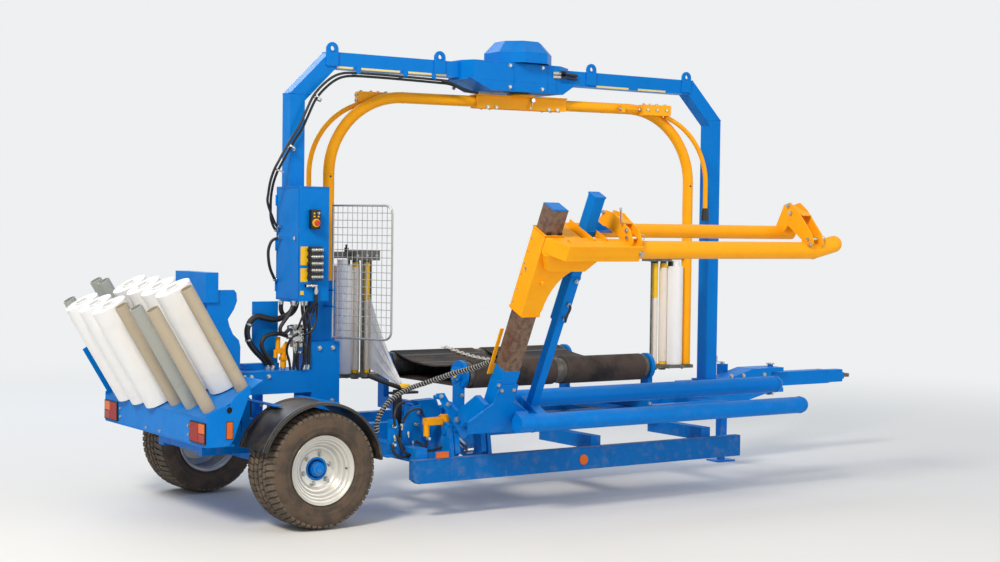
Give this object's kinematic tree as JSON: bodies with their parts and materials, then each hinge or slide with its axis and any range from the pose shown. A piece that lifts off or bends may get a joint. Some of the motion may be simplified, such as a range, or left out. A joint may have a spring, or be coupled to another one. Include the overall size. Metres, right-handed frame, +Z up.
{
  "type": "trailed square bale wrapper",
  "caption": "Trailed farm machine that wraps square bales: arch with a turning film arm, roller table, swinging side loader with a clamp, roll rack, two wheels and a tow eye.",
  "frame": {"origin": "centre of the tow eye's hole at half its thickness; the ground is 0.725 m below", "axes": "+X forward in the direction of travel, +Y to the machine's left, +Z up"},
  "size_m": [7.311, 3.2289, 3.525],
  "materials": {
    "blue": "gloss enamel",
    "card": "cardboard",
    "film": "stretch film",
    "grey": "moulded plastic",
    "lamp": "ribbed lens",
    "orange": "gloss enamel",
    "plastic": "moulded plastic",
    "rubber": "matte",
    "tyre": "worn rubber",
    "worn": "rubbed bare steel",
    "zinc": "galvanised"
  },
  "bodies": {
    "chassis": {"main_frame": "blue", "axle": "blue", "side_sill": "blue", "rear_rack": "blue", "rear_stand": "blue", "rear_post": "blue", "arch_beam": "blue", "front_post": "blue", "slew_drive": "blue", "control_box": "blue", "valve_bank": "zinc", "hoses": "rubber", "fender_right": "plastic", "fender_left": "plastic", "table_frame": "blue", "table_rollers": "zinc", "table_belts": "rubber", "film_rolls": "film", "cores_card": "card", "cores_grey": "grey", "lamps": "lamp", "jack": "blue", "loader_bracket": "blue"},
    "wheel_right": {"tyre_right": "tyre", "rim_right": "zinc", "hub_right": "blue"},
    "wheel_left": {"tyre_left": "tyre", "rim_left": "zinc", "hub_left": "blue"},
    "wrap_arm": {"arm_hub": "orange", "arm_rear": "orange", "arm_front": "orange", "dispenser_rear": "zinc", "dispenser_front": "zinc", "dispenser_film": "film"},
    "loader": {"loader_mast": "worn", "loader_forks": "blue", "loader_post": "blue"},
    "clamp": {"clamp_carriage": "orange", "clamp_pipes": "orange", "clamp_tube": "orange"},
    "guard": {"guard": "zinc"},
    "drawbar": {"drawbar": "blue", "tow_eye": "worn"},
    "lift_barrel": {"lift_barrel": "orange"},
    "lift_rod": {"lift_rod": "orange"}
  },
  "joints": [
    {"name": "wheel_right_spin", "type": "hinge", "parent": "chassis", "child": "wheel_right", "pos_m": [-6.06, -0.912, -0.322], "axis": [0, 1, 0], "continuous": true},
    {"name": "wheel_left_spin", "type": "hinge", "parent": "chassis", "child": "wheel_left", "pos_m": [-6.06, 0.912, -0.322], "axis": [0, 1, 0], "continuous": true},
    {"name": "wrap_arm_turn", "type": "hinge", "parent": "chassis", "child": "wrap_arm", "pos_m": [-3.733, 0, 2.319], "axis": [0, 0, 1], "continuous": true},
    {"name": "loader_swing", "type": "hinge", "parent": "chassis", "child": "loader", "pos_m": [-4.82, -0.95, -0.125], "axis": [-1, 0, 0], "range_deg": [-64, 26]},
    {"name": "clamp_slide", "type": "slide", "parent": "loader", "child": "clamp", "axis": [0, -0.4384, 0.8988], "range_m": [-0.43, 0.1]},
    {"name": "guard_swing", "type": "hinge", "parent": "chassis", "child": "guard", "pos_m": [-5.5, -0.17, 0.995], "axis": [0, 0, 1], "range_deg": [-60, 0]},
    {"name": "lift_tilt", "type": "hinge", "parent": "chassis", "child": "lift_barrel", "pos_m": [-4.838, -0.45, -0.025], "axis": [-1, 0, 0], "range_deg": [-6, 3]},
    {"name": "lift_stroke", "type": "slide", "parent": "lift_barrel", "child": "lift_rod", "axis": [0, -0.9152, -0.4031], "range_m": [-0.15, 0.062]},
    {"name": "drawbar_swing", "type": "hinge", "parent": "chassis", "child": "drawbar", "pos_m": [-0.93, 0, 0], "axis": [0, 0, 1], "range_deg": [-25, 25]}
  ],
  "couplings": [
    {"joint": "lift_tilt", "follows": "loader_swing", "ratio": 0.09},
    {"joint": "lift_stroke", "follows": "loader_swing", "m_per_rad": 0.13}
  ]
}
